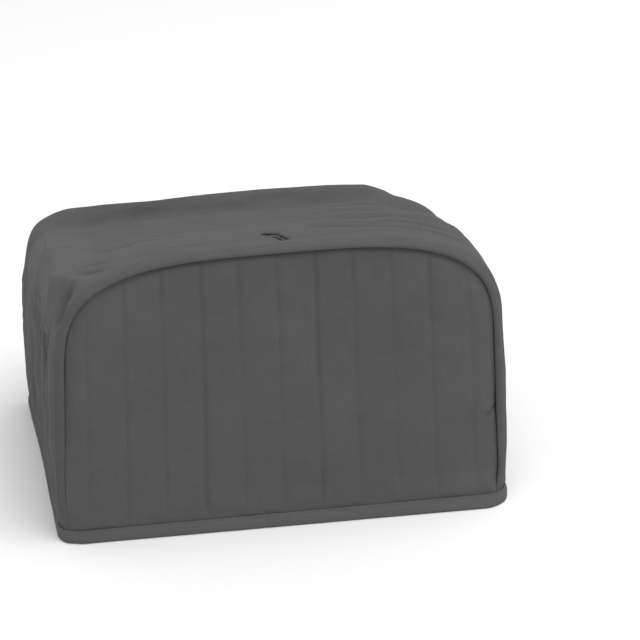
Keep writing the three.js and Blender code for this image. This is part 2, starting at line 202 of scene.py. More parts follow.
def lattice(i, j, seed):
    """A repeatable number from -1 to 1 for each lattice point."""
    h = (i * 374761393 + j * 668265263 + seed * 1442695041) & 0xFFFFFFFF
    h = ((h ^ (h >> 13)) * 1274126177) & 0xFFFFFFFF
    return ((h ^ (h >> 16)) & 0xFFFF) / 32767.5 - 1.0


def noise(u, v, seed):
    """Smooth random heights from -1 to 1, one lattice cell to a unit of u and v."""
    u, v = np.broadcast_arrays(np.asarray(u, float), np.asarray(v, float))
    i = np.floor(u).astype(np.int64)
    j = np.floor(v).astype(np.int64)
    a = u - i
    b = v - j
    a = a * a * a * (a * (6 * a - 15) + 10)
    b = b * b * b * (b * (6 * b - 15) + 10)
    low = mix(lattice(i, j, seed), lattice(i + 1, j, seed), a)
    high = mix(lattice(i, j + 1, seed), lattice(i + 1, j + 1, seed), a)
    return mix(low, high, b)


def above_hem(z, start=PRESSED, span=QUILT_RISE):
    return smooth((z - BINDING_HEIGHT - start) / span)


def crown_height(depth):
    if depth > CROWN["valleyAt"]:
        lift = (depth - CROWN["valleyAt"]) / (CROWN["backAt"] - CROWN["valleyAt"])
        return mix(CROWN["valley"], CROWN["back"], smooth(lift))
    fall = depth / CROWN["valleyAt"]
    return mix(CROWN["front"], CROWN["valley"], mix(fall, smooth(fall), CROWN_SAG))


def arch_shape(depth):
    front, middle, back = (np.array(ARCH[k]) for k in ("front", "middle", "back"))
    off_line = middle - mix(front, back, 0.5)
    shape = dict(zip(ARCH_KEYS, mix(front, back, depth) + off_line * 4 * depth * (1 - depth)))
    shape["crown"] = crown_height(depth)
    return shape


def left_wall(shape, z):
    return -(shape["left"] - shape["leftLean"] * z)


def right_wall(shape, z):
    return shape["right"] - shape["rightLean"] * z


def fine_arch(depth):
    """The seam outline at one depth from the left hem to the right one, and shares along it."""
    shape = arch_shape(depth)
    up = np.linspace(HEM_EDGE, shape["spring"], WALL_STEPS + 1)[:-1]
    angle = np.linspace(0, math.pi, ROUND_STEPS + 1)
    on_left = angle <= math.pi / 2
    exponent = 2 / np.where(on_left, shape["leftRound"], shape["rightRound"])
    z = mix(shape["spring"], shape["crown"], np.abs(np.sin(angle)) ** exponent)
    wall = np.where(on_left, left_wall(shape, z), right_wall(shape, z))
    x = wall * np.abs(np.cos(angle)) ** exponent
    x = np.concatenate([left_wall(shape, up), x, right_wall(shape, up[::-1])])
    z = np.concatenate([up, z, up[::-1]])
    step = np.hypot(np.diff(x), np.diff(z))
    share = np.concatenate([[0], np.cumsum(step)])
    return x, z, share / share[-1]


def arch_row(depth, along):
    """Places on the seam outline and their outward directions."""
    x, z, share = fine_arch(depth)
    px, pz = np.interp(along, share, x), np.interp(along, share, z)
    before, after = (np.clip(along + step, 0, 1) for step in (-NORMAL_STEP, NORMAL_STEP))
    dx = np.interp(after, share, x) - np.interp(before, share, x)
    dz = np.interp(after, share, z) - np.interp(before, share, z)
    ox, oz = -dz, dx * above_hem(pz, PRESSED, ROLL_RISE)
    size = np.hypot(ox, oz)
    return px, pz, ox / size, oz / size


# Where the whole cover has sunk or drawn in: how far it moves, and the windows that it moves in, as
# (axis, where the window opens, how far on it is fully open)
DRIFTS = (
    ((-1.6, 0, 0), ((X, 138, 8), (Z, 44, -34))),  # right end of the hem
    ((2.7, 0, 0), ((X, -141, -10), (Y, 100, -100), (Z, 75, -65))),  # left hem
    ((2.6, 0, 1.0), ((X, -105, -25), (Y, 30, 50), (Z, 95, 35))),  # left rear shoulder
    ((-1.4, 0, 0), ((X, -130, -15), (Y, 30, 50), (Z, 10, 30), (Z, 115, -35))),  # left rear side
    ((-1.0, 0, -6.5), ((X, 84, 26), (Y, -10, 80), (Z, 70, 50))),  # right rear shoulder
    ((0, 0, -0.9), ((X, -130, 30), (X, -20, -40), (Y, 40, 40), (Z, 90, 30))),  # left of the rear crown
    ((2.2, 2.2, 0), ((X, -132, -14), (Y, -88, -14), (Z, 34, -30))),  # front left corner
    ((-3.0, 3.0, 0), ((X, 130, 14), (Y, -88, -14), (Z, 34, -30))),  # front right corner
)


def settle(points):
    """The front hem kicks forward, more so at the right, and the drifts follow."""
    x, y, z = points[..., X], points[..., Y], points[..., Z]
    low = np.clip(1 - z / FLARE_HEIGHT, 0, 1) ** 2
    front = window(y, FLARE_WINDOW)
    kick = FLARE + SKEW * (x / (ARCH["front"][0] + ARCH["front"][1]) + 0.5)
    moved = points.copy()
    moved[..., Y] -= kick * low * front
    for push, windows in DRIFTS:
        share = math.prod(window(points[..., axis], span) for axis, *span in windows)
        moved = moved + share[..., None] * push
    return moved


def near_path(u, v, path):
    """Distance from each (u, v) to a line through places, and its rise there."""
    best = np.full(np.broadcast(u, v).shape, FAR)
    level = np.zeros_like(best)
    for a, b in zip(path[:-1], path[1:]):
        du, dv = b[0] - a[0], b[1] - a[1]
        t = ((u - a[0]) * du + (v - a[1]) * dv) / (du * du + dv * dv)
        t = np.clip(t, 0, 1)
        dist = np.hypot(u - a[0] - t * du, v - a[1] - t * dv)
        closer = dist < best
        best = np.where(closer, dist, best)
        level = np.where(closer, mix(a[2], b[2], t), level)
    return best, level


def crease_rise(u, v, path, width, sharp=False):
    dist, level = near_path(u, v, path)
    share = dist / width
    return level * (np.clip(1 - share, 0, 1) ** 2 if sharp else np.exp(-share * share))


# The gusset
STRIP = 618.0  # length of the gusset up and over
GUSSET_LINES = 7
GUSSET_FIRST_LINE = -((GUSSET_LINES - 1) / 2) * PITCH
FLAT_HALF = DEPTH / 2 - ROLL  # from the middle of the strip to where its rolled edges begin
LINE_WANDERS = ((1.5, 9, 11), (0.6, 31, 12))  # (millimetres, waves along the strip, seed)
LINE_APART = 3.1  # lattice cells between two lines' wanders
CHANNEL_ROUND = 0.55  # power that makes a channel's section full
UNDER_ROLL = 2  # how far the outermost channels run on under the rolled edges

# Windows along the gusset, in shares of it, as (where it opens, how far on it is open)
LEFT_WALL = ((0.235, -0.02),)
LEFT_SIDE = ((0.265, -0.03),)
RIGHT_SIDE = ((0.70, 0.06),)
ON_TOP = ((0.268, 0.045), (0.70, -0.06))
CALM = ((0.235, 0.03), (0.74, -0.05))
SHOULDERS = ((0.18, 0.05), (0.82, -0.06))
STREAKED = ((0.31, 0.04), (0.70, -0.04))
CROWN_ROLL = ((0.3, 0.08), (0.76, -0.08))
LOW_LEFT = ((0.17, -0.09),)
LOW_RIGHT = ((0.80, 0.08),)

# Unevenness of the gusset, as (cell along, cell across, seed)
BEND = (34, 60, 21)
RIPPLE = (46, 6.5, 22)
STREAK = (27, 7.5, 23)
LUMPS = (26, 17, 24)
FINE = (9, 4.2, 25)
FULLNESS = (50, 25.4, 26)
ROUGH = (55, 31, 27)
PATCHES = (22, 5, 29)
GROOVE_CELL = (31, 4.0, 28)  # its second number is a place in the lattice

# Heights in millimetres
WALL_DEEPER = 0.3  # the left wall's creases are deeper by this share
SHOULDER_SWELL = (2.0, 80, 11)  # (rise, y, half width)
REAR_GROOVE = (3.3, 0.3, 83, 6.0)  # (depth, how uneven, y, half width)
RIPPLE_RIDGE, STREAK_RIDGE = (3, 0.35), (4, 0.25)  # (power that narrows a ridge, height taken off)
STREAK_BEND = 0.9  # share of the ripples' bend that the streaks follow
SLANT = {"share": 0.22, "from": 170, "window": (0.6, -0.2)}
HEIGHTS = {"bend": 5, "lumps": 0.5, "ripple": 0.75, "streak": 0.7, "fine": 0.12}
FULL = {"mean": 0.75, "uneven": 0.3, "calmer": 0.7}  # how full the channels are
STITCH_DIP = (0.3, 0.2, 1.2)  # (depth, how much less when calm, half width)

# How much a feature of the gusset lightens its cloth, all painted light and shade: painted highlights on
# ridges and the tuck's lip, painted shade on the left wall, in grooves and streaks and on the rear strip, a
# painted shadow in the tuck's slit
TONES = {"ripple": 0.6, "wall": -0.24, "crease": 0.28, "wall crease": 0.3, "streak": -0.3,
         "rear": 0.1, "rear patches": 0.3, "slit": -3.1, "lip": 0.25}
# painted shade along the gusset's stitched lines
STITCH_TONE = (0.2, 0.16, 0.9)  # (darkening, how much less when calm, half width)
CREASE_LIMITS = (-2, 1.5)
REAR_STRIP = (80, 6)  # y where the shaded strip at the rear opens, and over how far
FACET_WIDTH = 6.0
# the tuck's slit takes a painted shadow
SLIT_WINDOW = (0.15, 0.7)  # depth at which the tuck turns dark, and over how much

# Fullness of the gusset's rolled edges, as shares of PROUD
PLUMP = {"all": 1.1, "uneven": 0.18, "crown": 0.12, "low left": 0.8, "low right": 0.3}
PLUMP_CELL = (21, 3.0, 31)  # (waves along, cells between the edges, seed)
SWING = 0.7  # power that sets where on its turn a roll is fullest

# The swell of the cloth above the binding
SWELL = {"rise": 1.35, "foot": (9.9, 2.2), "top": (34, -22)}
RIGHT_SWELL = (0.8, 82, 36)  # (rise, z, half width)
SWELL_SIDEWAYS = 0.7  # share of the swell that pushes a roll sideways

# The gusset's grid: steps round a roll, the way between rows, and counts along its three spans
ROLL_STEPS = 10
ACROSS_STEP = 2.15
TUCK_SPAN = (-84, -58, 40)  # laid out more finely, as is the middle span along
ALONG_SPANS = ((0, 0.478, 134), (0.478, 0.512, 44), (0.512, 1, 136))


def uneven(u, v, cell):
    return noise(u / cell[0], v / cell[1], cell[2])


def ridged(height, power, taken_off):
    return (1 - np.abs(height)) ** power - taken_off


def channel_profile(t):
    return np.power(np.clip(4 * t * (1 - t), 0, 1), CHANNEL_ROUND)


def gusset_line(along, line):
    wander = sum(size * noise(along * waves, line * LINE_APART, seed) for size, waves, seed in LINE_WANDERS)
    return GUSSET_FIRST_LINE + line * PITCH + wander


def gusset_quilt(along, y):
    """Height of the quilting above the stitched lines, and the distance to the nearest line."""
    edge = np.full_like(along, FLAT_HALF + UNDER_ROLL)
    lines = [-edge] + [gusset_line(along, k) for k in range(GUSSET_LINES)] + [edge]
    height = np.zeros(np.broadcast(along, y).shape)
    nearest = np.full_like(height, FAR)
    for k in range(GUSSET_LINES + 1):
        t = (y - lines[k]) / (lines[k + 1] - lines[k])
        inside = (t >= 0) & (t <= 1)
        if k == 0:
            t = 0.5 + 0.5 * t
        if k == GUSSET_LINES:
            t = 0.5 * t
        height = np.where(inside, channel_profile(np.clip(t, 0, 1)), height)
    for line in lines[1:-1]:
        nearest = np.minimum(nearest, np.abs(y - line))
    return height, nearest


def gusset_folds(along, y, mm, on_top):
    """The broad folds, the shoulders' swell and the groove along the rear of the top."""
    depth = y / DEPTH + 0.5
    folds = 0
    for at, depth_at, length, width, rise in FOLDS:
        folds = folds + rise * np.exp(-((along - at) / length) ** 2 - ((depth - depth_at) / width) ** 2)
    rise, at, width = SHOULDER_SWELL
    folds = folds + rise * (1 - on_top) * window(along, *SHOULDERS) * bell(y, at, width)
    cut, share, at, width = REAR_GROOVE
    cell, place, seed = GROOVE_CELL
    return folds - cut * on_top * (1 + share * noise(mm / cell, place, seed)) * bell(y, at, width)


def gusset_creases(mm, y, wall):
    creases = 0
    for table, sharp in ((CREASES, False), (EDGES, True)):
        for width, path in table:
            path = [(a * STRIP, b, rise) for a, b, rise in path]
            creases = creases + crease_rise(mm, y, path, width, sharp)
    return creases * (1 + WALL_DEEPER * wall)


def gusset_relief(along, y, x):
    """Rise of the gusset's face, the part of it that both faces share, and its tone of painted light and
    shade.
    """
    mm = along * STRIP
    quilt, nearest = gusset_quilt(along, y)
    wall = window(along, *LEFT_WALL)
    left = window(along, *LEFT_SIDE)
    on_top = window(along, *ON_TOP)
    calm = window(along, *CALM)
    streaked = window(along, *STREAKED) * (0.5 + 0.5 * uneven(mm, y, ROUGH))
    creases = gusset_creases(mm, y, wall)
    tuck = sum(crease_rise(x, y, path, width) for width, path in TUCK)

    bend = HEIGHTS["bend"] * uneven(mm, y, BEND)
    ripple = ridged(uneven(mm, y + bend, RIPPLE), *RIPPLE_RIDGE)
    slant = SLANT["share"] * (mm - SLANT["from"]) * window(along, SLANT["window"])
    streak = ridged(uneven(mm, y + STREAK_BEND * bend - slant, STREAK), *STREAK_RIDGE)
    shared = gusset_folds(along, y, mm, on_top) + creases + HEIGHTS["lumps"] * uneven(mm, y, LUMPS)
    shared = shared + left * HEIGHTS["ripple"] * ripple - HEIGHTS["streak"] * streaked * streak
    shared = shared + HEIGHTS["fine"] * uneven(mm, y, FINE)
    full = (FULL["mean"] + FULL["uneven"] * uneven(mm, y, FULLNESS)) * (1 - FULL["calmer"] * calm)
    dip, calmer, width = STITCH_DIP
    rise = shared + PUFF * quilt * full - (dip - calmer * calm) * bell(nearest, 0, width) + tuck

    dark, calmer, width = STITCH_TONE
    # painted highlight on the ripples' ridges on the left side
    tone = TONES["ripple"] * np.clip(ripple, 0, 1) * left
    # painted shade along the stitched lines and over the left wall
    tone = tone - (dark - calmer * calm) * bell(nearest, 0, width) + TONES["wall"] * wall
    # painted highlight on crease ridges and painted shade in their grooves, stronger on the left wall
    tone = tone + (TONES["crease"] + TONES["wall crease"] * wall) * np.clip(creases, *CREASE_LIMITS)
    # painted shade in the streaks' grooves
    tone = tone + TONES["streak"] * streaked * np.clip(streak, 0, 1)
    # painted light and shade on the strip along the rear of the top
    rear_strip_shading = TONES["rear"] + TONES["rear patches"] * uneven(mm, y, PATCHES)
    tone = tone + rear_strip_shading * on_top * window(y, REAR_STRIP)
    tone = tone - crease_rise(mm, y, FACET_SHADE, FACET_WIDTH)
    # painted shadow in the tuck's slit and painted highlight on its lip
    tone = tone + TONES["slit"] * window(-tuck, SLIT_WINDOW) + TONES["lip"] * np.clip(tuck, 0, 1)
    return rise, shared, tone


def hem_swell(z, along):
    """The cloth stands out just above the binding, longest on the right."""
    rise, at, width = RIGHT_SWELL
    low = window(z, SWELL["foot"])
    swell = low * SWELL["rise"] * window(z, SWELL["top"])
    return swell + window(along, *RIGHT_SIDE) * rise * bell(z, at, width)


def roll_fullness(along, end):
    """How proud a rolled edge stands, slimmer low on the front."""
    waves, apart, seed = PLUMP_CELL
    plump = PLUMP["all"] + PLUMP["uneven"] * noise(along * waves, end * apart, seed)
    plump = PROUD * (plump + PLUMP["crown"] * window(along, *CROWN_ROLL))
    if end > 0:
        return plump
    slimmer = PLUMP["low left"] * window(along, *LOW_LEFT) + PLUMP["low right"] * window(along, *LOW_RIGHT)
    return plump * (1 - slimmer)


def gusset_places(along, station):
    """Outer and inner faces of the gusset at one station across it, and the tone of painted light and shade
    there.
    """
    turn, end, y = station
    sin, cos = math.sin(turn), math.cos(turn)
    nominal = y + end * ROLL * cos
    depth = min(max(nominal / DEPTH + 0.5, 0), 1)
    px, pz, ox, oz = arch_row(depth, along)
    free = above_hem(pz)
    rise, shared, tone = gusset_relief(along, nominal, px)
    swell = hem_swell(pz, along)
    swing = math.sin(math.pi * (turn / (math.pi / 2)) ** SWING)
    yy = nominal + end * roll_fullness(along, end) * free * swing
    yy = yy + end * swell * SWELL_SIDEWAYS * cos * sin
    soft = sin ** 2
    face = ROLL * sin + swell * sin
    outer = face + free * soft * rise
    inner = face + free * soft * shared - CLOTH * sin
    edge = CLOTH * cos
    out = np.stack([px + ox * outer, yy, pz + oz * outer], -1)
    back = np.stack([px + ox * inner, yy - end * edge, pz + oz * inner], -1)
    return out, back, tone * free * soft


def gusset_stations():
    """Rows across the gusset as (turn round a roll, end, y), from the front seam to the back one."""
    turns = np.linspace(0, math.pi / 2, ROLL_STEPS + 1)
    first, last, rows = TUCK_SPAN
    before = np.linspace(-FLAT_HALF, first, int((FLAT_HALF + first) / ACROSS_STEP) + 1)
    tuck = np.linspace(first, last, rows)
    after = np.linspace(last, FLAT_HALF, int((FLAT_HALF - last) / ACROSS_STEP) + 1)
    across = np.concatenate([before[1:], tuck[1:], after[1:-1]])
    stations = [(t, -1, -FLAT_HALF) for t in turns]
    stations += [(math.pi / 2, -1 if y < 0 else 1, y) for y in across]
    stations += [(t, 1, FLAT_HALF) for t in turns[::-1]]
    return stations


def gusset_alongs():
    spans = [np.linspace(start, end, count)[:-1] for start, end, count in ALONG_SPANS]
    return np.append(np.concatenate(spans), 1.0)


# The panels
OUTLINE_COUNT = 1441  # places on a panel's outline, and where its upper corners are
CORNER_PERCENTS = (29, 71)
CLOSE_SEAM = (0.22, -0.06)  # window along the outline where the front seam is closed up
NEAREST_STEP = 4  # seam distances are taken to every fourth place
PANELS = {
    -1: {"depth": 0, "pulls": FRONT_LINES, "seed": 40, "converge": 0.061, "crown": CROWN["front"]},
    1: {"depth": 1, "pulls": BACK_LINES, "seed": 60, "converge": 0.02, "crown": CROWN["back"]},
}

# Sway of a stitched line up the panel, as (millimetres, cell, seed). The panel's seed is added.
LINE_SWAYS = ((0.7, 47, 0), (0.3, 17, 1))
SWAY_APART = 2.3  # lattice cells between two lines' sways
PULL_CELL = (29, 5.7)  # (millimetres up, lattice cells between lines)
PULL = {"mean": 0.75, "uneven": 0.35, "crown": 0.35, "crown window": (150, 30)}
PULL_WIDTH = 1.9
LINE_SHADE_WIDTH = 1.2

# The bow of a panel out of its seam plane
BOW = {"foot": 45, "top": 60, "spare": 4, "wave": 0.25, "across": 31, "up": 44}

# Windows on a panel, in millimetres
RIGHT_PART = (60, 60)
LEFT_PART = (-70, -50)
LOW_PART = (90, -40)
PALE_LEFT = (-60, -40)
PALE_ABOVE = (90, 40)
OFF_SEAM = (1.0, 9.0)
PANEL_FREE = (1.0, 9.0)  # above the binding: (flat up to here, free this much higher)

# Unevenness of a panel, as (height, cell across, cell up, seed)
PANEL_LUMPS = ((0.34, 33, 27, 3), (0.26, 12, 10, 4))
SLUBS = ((0.05, 14, 1.9, 5), (0.05, 1.9, 15, 6))
GRAIN = ((0.07, 4, 4, 7),)

# The dip beside the seam, and its deeper stretch on the right
DIP = {"depth": 1.4, "low left": 0.92, "width": 1.9, "wider left": 3.0, "shared": 0.6, "face": 0.4}
RIGHT_DIP = (1.1, 72, 13)  # (depth, z, half width)
HEM_PUFF = {"rise": 0.85, "uneven": 0.8, "cell": 9, "place": 3.0, "seed": 8, "limits": (0.15, 1.6),
            "foot": (9.9, 2.4), "top": (31, -17)}
QUILT_SHARE = 0.52  # a panel's channels are this much flatter than the gusset's
# Weights of a panel's painted light and shade: on its lumps, along its lines and seam, low on the left, on
# its right part and its upper left
PANEL_TONES = {"lumps": 0.3, "line": 0.5, "seam": 0.5, "low left": 1.2, "right": 0.13, "left": 0.12}
SEAM_SHADE_WIDTH = 1.8
NICK_WIDTHS = {"face": 1.3, "shared": 3.0, "shade": 1.0}
NICK_SHARES = {"shared": 0.5, "shade": 0.6}


def panel_outline(depth):
    """A panel's edge, a little inside the seam, and closest to it low on the left."""
    along = np.linspace(0, 1, OUTLINE_COUNT)
    px, pz, ox, oz = arch_row(depth, along)
    gap = mix(GAP, CLOSE_GAP, window(along, CLOSE_SEAM))
    return np.stack([px - ox * gap, pz - oz * gap], -1)


def resample(path, count):
    step = np.hypot(*np.diff(path, axis=0).T)
    share = np.concatenate([[0], np.cumsum(step)])
    goal = np.linspace(0, share[-1], count)
    return np.stack([np.interp(goal, share, path[:, 0]), np.interp(goal, share, path[:, 1])], -1)


def panel_grid(depth, columns, rows):
    """Places (x, z) that fill the outline, spread from its four sides."""
    line = panel_outline(depth)
    left_corner, right_corner = (OUTLINE_COUNT * percent // 100 for percent in CORNER_PERCENTS)
    left = resample(line[:left_corner + 1], rows)
    top = resample(line[left_corner:right_corner + 1], columns)
    right = resample(line[right_corner:][::-1], rows)
    u = np.linspace(0, 1, columns)[None, :, None]
    v = np.linspace(0, 1, rows)[:, None, None]
    bottom = mix(line[0], line[-1], u[0])
    sides = mix(left[:, None], right[:, None], u)
    ends = mix(bottom[None], top[None], v)
    corners = mix(mix(line[0], line[-1], u), mix(top[0], top[-1], u), v)
    return sides + ends - corners, line


def line_x(line, z, end):
    kind = PANELS[end]
    lean = 1 - kind["converge"] * z / kind["crown"]
    sway = sum(size * noise(z / cell, line * SWAY_APART, kind["seed"] + extra)
               for size, cell, extra in LINE_SWAYS)
    return (FIRST_LINE + line * PITCH) * lean + sway


def layered(x, z, layers, seed):
    return sum(size * noise(x / across, z / up, seed + extra) for size, across, up, extra in layers)


def panel_lines(x, z, end):
    """Height of the quilted channels between a panel's lines, the lines' pull and their shade."""
    pulls, seed = PANELS[end]["pulls"], PANELS[end]["seed"]
    lines = [line_x(k, z, end) for k in range(-1, len(pulls) + 1)]
    quilt, pull, shade = (np.zeros_like(x) for _ in range(3))
    for before, after in zip(lines[:-1], lines[1:]):
        t = (x - before) / (after - before)
        quilt = np.where((t >= 0) & (t < 1), channel_profile(np.clip(t, 0, 1)), quilt)
    for k, share in enumerate(pulls):
        strength = PULL["mean"] + PULL["uneven"] * noise(z / PULL_CELL[0], k * PULL_CELL[1], seed + 2)
        strength = share * strength + PULL["crown"] * window(z, PULL["crown window"])
        pull = pull + strength * bell(x, lines[k + 1], PULL_WIDTH)
        shade = shade + strength * bell(x, lines[k + 1], LINE_SHADE_WIDTH)
    return quilt, pull, shade


def panel_bow(x, z, shape):
    top = shape["crown"] + BOW["spare"]
    lift = above_hem(z, PRESSED, BOW["foot"]) * smooth((top - z) / BOW["top"])
    across = np.sqrt(np.clip(1 - (x / shape["left"]) ** 2, 0, 1))
    wave = 1 + BOW["wave"] * np.sin(x / BOW["across"] + z / BOW["up"])
    return PANEL_BULGE * lift * across * wave


def panel_relief(x, z, seam, end):
    """How far a panel's outer and inner faces stand out, and its tone of painted light and shade."""
    seed = PANELS[end]["seed"]
    quilt, pull, shade = panel_lines(x, z, end)
    lumps = layered(x, z, PANEL_LUMPS, seed)
    free = above_hem(z, *PANEL_FREE)
    inward = window(seam, OFF_SEAM)
    right, left, low = window(x, RIGHT_PART), window(x, LEFT_PART), window(z, LOW_PART)

    more, at, width = RIGHT_DIP
    deep = DIP["depth"] * (1 - DIP["low left"] * low * left) + more * right * bell(z, at, width)
    dip = deep * bell(seam, 0, DIP["width"] + DIP["wider left"] * left * (1 - low)) * free
    puff = noise(x / HEM_PUFF["cell"], HEM_PUFF["place"], seed + HEM_PUFF["seed"])
    puff = np.clip(HEM_PUFF["rise"] + HEM_PUFF["uneven"] * puff, *HEM_PUFF["limits"])
    puff = puff * window(z, HEM_PUFF["foot"], HEM_PUFF["top"]) * inward
    shared = panel_bow(x, z, arch_shape(PANELS[end]["depth"]))
    shared = shared + free * (lumps * inward - DIP["shared"] * dip)
    raised = PUFF * QUILT_SHARE * quilt - LINE_PULL * pull
    outer = shared + puff + raised * free * inward - DIP["face"] * dip
    outer = outer + free * (layered(x, z, SLUBS, seed) + layered(x, z, GRAIN, seed))
    if end < 0:
        outer = outer + crease_rise(x, z, NICK, NICK_WIDTHS["face"])
        shared = shared + NICK_SHARES["shared"] * crease_rise(x, z, NICK, NICK_WIDTHS["shared"])
        shade = shade - NICK_SHARES["shade"] * crease_rise(x, z, NICK, NICK_WIDTHS["shade"])

    # painted shade along the seam, turned to painted light low on the left
    seam_shade = bell(seam, 0, SEAM_SHADE_WIDTH) * (1 - PANEL_TONES["low left"] * low * left)
    # painted light and shade following the lumps, painted shade along the stitched lines and the seam
    tone = PANEL_TONES["lumps"] * lumps - PANEL_TONES["line"] * shade - PANEL_TONES["seam"] * seam_shade
    # painted light on the panel's upper left and on its right part
    left_painted_light = window(x, PALE_LEFT) * window(z, PALE_ABOVE)
    tone = tone + PANEL_TONES["right"] * right + PANEL_TONES["left"] * left_painted_light
    return DEPTH / 2 + outer, DEPTH / 2 + shared - CLOTH, tone * free


def seam_distance(x, z, line):
    line = line[::NEAREST_STEP]
    best = np.full(x.shape, FAR)
    for k in range(x.shape[0]):
        d = np.hypot(x[k][:, None] - line[None, :, 0], z[k][:, None] - line[None, :, 1])
        best[k] = d.min(1)
    return best


# The hem binding
SIDE_COUNT, WALL_COUNT, CORNER_COUNT = 170, 110, 9
EVEN, UNEVEN, STITCHED = 0, 1, 2  # kinds of corners of the tape's section
WOBBLES = ((0.16, 11, 3, 71), (0.1, 3.1, 2, 72))  # (millimetres, cell round, cell up, seed)
WOBBLE_SHARE = {EVEN: 0.0, UNEVEN: 1.0, STITCHED: 0.6}
# painted light on the tape's bulging outer face, painted shade on its rims and its stitched line
TAPE_TONE = {EVEN: -0.1, UNEVEN: 0.1, STITCHED: -0.1}


def hem_loop(z, outward):
    """The cloth's outer face near the hem, moved outward, as a loop of places."""
    half = DEPTH / 2
    radius = ROLL + outward
    loop = []

    def wall_x(side, y):
        shape = arch_shape(y / DEPTH + 0.5)
        return left_wall(shape, z) if side < 0 else right_wall(shape, z)

    def corner(side, end, turn):
        y = end * (half - ROLL + ROLL * math.cos(turn))
        x = wall_x(side, y) + side * radius * math.sin(turn)
        return (x, end * (half - ROLL + radius * math.cos(turn)), z)

    for end in (-1, 1):
        for i in range(CORNER_COUNT + 1):
            loop.append(corner(end, end, (math.pi / 2) * (1 - i / CORNER_COUNT)))
        first, last = np.array(loop[-1]), np.array(corner(-end, end, 0))
        for i in range(1, SIDE_COUNT):
            loop.append(tuple(mix(first, last, i / SIDE_COUNT)))
        for i in range(CORNER_COUNT + 1):
            loop.append(corner(-end, end, (math.pi / 2) * (i / CORNER_COUNT)))
        for i in range(1, WALL_COUNT):
            y = end * (half - ROLL) * (1 - 2 * i / WALL_COUNT)
            loop.append((wall_x(-end, y) - end * radius, y, z))
    return np.array(loop)


def binding_section():
    """Corners of the tape's section as (z, outward, kind), from the foot of the outer leg round."""
    out, inner = GAP + TAPE, -(CLOTH + GAP)
    top = BINDING_HEIGHT
    return (
        (0.0, out - 2.2, EVEN), (0.1, out - 1.5, EVEN), (0.4, out - 0.85, EVEN),
        (0.9, out - 0.36, EVEN), (1.6, out - 0.08, UNEVEN), (2.8, out + 0.08, UNEVEN),
        (4.3, out + 0.14, UNEVEN), (5.8, out + 0.08, UNEVEN), (7.0, out - 0.08, UNEVEN),
        (7.8, out - 0.3, UNEVEN), (8.3, out - 0.5, STITCHED), (8.7, out - 0.58, UNEVEN),
        (9.1, out - 0.7, UNEVEN), (top - 0.1, out - 0.82, EVEN), (top, out - 0.95, EVEN),
        (top - 0.1, GAP + 0.1, EVEN), (top - 0.4, GAP, EVEN), (TAPE, GAP, EVEN),
        (TAPE, inner, EVEN), (top - 0.4, inner, EVEN), (top, inner - 0.2, EVEN),
        (top, inner - 0.9, EVEN), (top - 0.3, inner - TAPE, EVEN), (1.3, inner - TAPE, EVEN),
        (0.5, inner - TAPE + 0.25, EVEN), (0.0, inner - TAPE + 1.2, EVEN),
    )


# The meshes
def placed(name, data):
    obj = bpy.data.objects.new(name, data)
    bpy.context.collection.objects.link(obj)
    return obj


def add_mesh(name, points, faces, values):
    mesh = bpy.data.meshes.new(name)
    flat = settle(points) * MM
    flat[:, 0] += MIDDLE[0] * MM
    flat[:, 1] += MIDDLE[1] * MM
    mesh.from_pydata(flat.tolist(), [], faces)
    mesh.validate()
    for key, data in values.items():
        kind, field = ("FLOAT", "value") if data.ndim == 1 else ("FLOAT_VECTOR", "vector")
        attribute = mesh.attributes.new(key, kind, "POINT")
        attribute.data.foreach_set(field, data.ravel().astype(np.float32))
    mesh.polygons.foreach_set("use_smooth", [True] * len(mesh.polygons))
    return placed(name, mesh)


def sheet_faces(rows, columns):
    """Faces of a closed sheet body of two grids, the outer one first."""
    grid = np.arange(rows * columns).reshape(rows, columns)
    a, b, c, d = grid[:-1, :-1], grid[1:, :-1], grid[1:, 1:], grid[:-1, 1:]
    size = rows * columns
    outer = np.stack([a, b, c, d], -1).reshape(-1, 4)
    inner = np.stack([a, d, c, b], -1).reshape(-1, 4) + size
    ring = np.concatenate([grid[0], grid[1:, -1], grid[-1, -2::-1], grid[-2:0:-1, 0]])
    after = np.roll(ring, -1)
    rim = np.stack([ring, after, after + size, ring + size], -1)
    return np.concatenate([outer, inner, rim])


def facing_out(points, faces):
    corners = points[faces]
    normal = np.cross(corners[:, 1] - corners[:, 0], corners[:, 2] - corners[:, 0])
    normal += np.cross(corners[:, 2] - corners[:, 0], corners[:, 3] - corners[:, 0])
    volume = (normal * corners.mean(1)).sum()
    return faces if volume > 0 else faces[:, ::-1]


def build_sheet(name, outer, inner, tone, cloth):
    rows, columns = outer.shape[:2]
    points = np.concatenate([outer.reshape(-1, 3), inner.reshape(-1, 3)])
    faces = facing_out(points, sheet_faces(rows, columns))
    values = {
        "tone": np.concatenate([tone.ravel(), np.zeros(tone.size)]),
        "weave": np.concatenate([cloth.reshape(-1, 3)] * 2) * MM,
    }
    return add_mesh(name, points, faces.tolist(), values)


def build_gusset():
    stations = gusset_stations()
    along = gusset_alongs()
    outer, inner, tone = (np.array(part) for part in zip(*(gusset_places(along, s) for s in stations)))
    across = np.array([y + end * (ROLL * (math.pi / 2 - turn)) for turn, end, y in stations])
    cloth = np.zeros(outer.shape)
    cloth[..., 0] = along[None] * STRIP
    cloth[..., 1] = across[:, None]
    return build_sheet("gusset_cloth", outer, inner, tone, cloth)


def build_panel(name, end, columns, rows):
    grid, line = panel_grid(PANELS[end]["depth"], columns, rows)
    x, z = grid[..., 0], grid[..., 1]
    seam = seam_distance(x, z, line)
    out, back, tone = panel_relief(x, z, seam, end)
    outer, inner = (np.stack([x, end * face, z], -1) for face in (out, back))
    cloth = np.stack([x, z, np.zeros_like(x)], -1)
    return build_sheet(name, outer, inner, tone, cloth)


